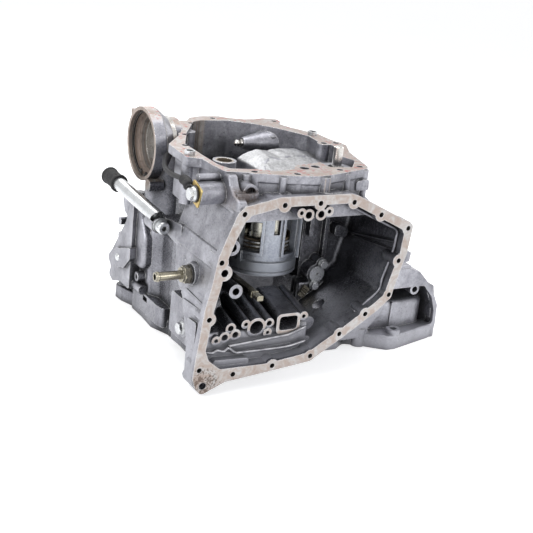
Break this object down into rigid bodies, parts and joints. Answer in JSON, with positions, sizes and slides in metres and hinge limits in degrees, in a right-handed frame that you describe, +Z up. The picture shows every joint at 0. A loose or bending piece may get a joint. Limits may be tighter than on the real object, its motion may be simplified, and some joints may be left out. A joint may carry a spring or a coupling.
{
  "type": "gearbox housing",
  "caption": "Cast gearbox case with an open control bay, an upper chamber, an axle tube and a lower lobe, holding a clutch hub in a windowed cage.",
  "frame": {"origin": "centre of the footprint, on the plane of the lower flange", "axes": "+X along the longest side, from the axle tube towards the lobe; +Y from the open control bay to the back; +Z up, from the lower flange to the upper flange"},
  "size_m": [0.45, 0.332, 0.286],
  "materials": {
    "die_cast": "sandblasted die casting, machined faces paler",
    "cage_cast": "fine cast skin, turned rim",
    "hub_steel": "dark oiled steel",
    "bearing_steel": "ground",
    "plate_steel": "ground",
    "friction": "fibrous friction lining",
    "passivated_steel": "olive passivated",
    "bright_steel": "ground",
    "zinc_steel": "bright zinc plating",
    "yellow_zinc": "yellow passivated zinc",
    "dark_steel": "blackened",
    "bush_bronze": "plain bush",
    "black_rubber": "moulded rubber"
  },
  "bodies": {
    "case": {"main_case": "die_cast", "drum_cage": "cage_cast", "drum_bolts": "dark_steel", "hub_bearing": "bearing_steel", "steel_plates": "plate_steel", "pivot_pin": "bright_steel", "side_bush": "bush_bronze", "ball_pin": "bright_steel", "axle_race": "bearing_steel", "snap_ring": "dark_steel", "breather_tube": "zinc_steel", "tube_cap": "black_rubber", "saddle_screw": "zinc_steel", "seal_washer": "dark_steel", "hose_barb": "passivated_steel", "clamp_plate": "yellow_zinc", "clamp_bolt": "zinc_steel", "sleeved_arm": "black_rubber", "side_bolt": "zinc_steel", "ear_pin": "zinc_steel", "cover_disc": "zinc_steel", "cover_bolts": "zinc_steel", "ribbed_tag": "passivated_steel", "upper_dowels": "zinc_steel"},
    "hub": {"clutch_hub": "hub_steel", "friction_plates": "friction"},
    "selector": {"selector_shaft": "passivated_steel"}
  },
  "joints": [
    {"name": "hub_spin", "type": "hinge", "parent": "case", "child": "hub", "pos_m": [-0.045, -0.036, 0.113], "axis": [0, 0, 1], "continuous": true},
    {"name": "selector_turn", "type": "hinge", "parent": "case", "child": "selector", "pos_m": [-0.1095, -0.036, 0.1165], "axis": [0, 1, 0], "range_deg": [-25, 25]}
  ]
}
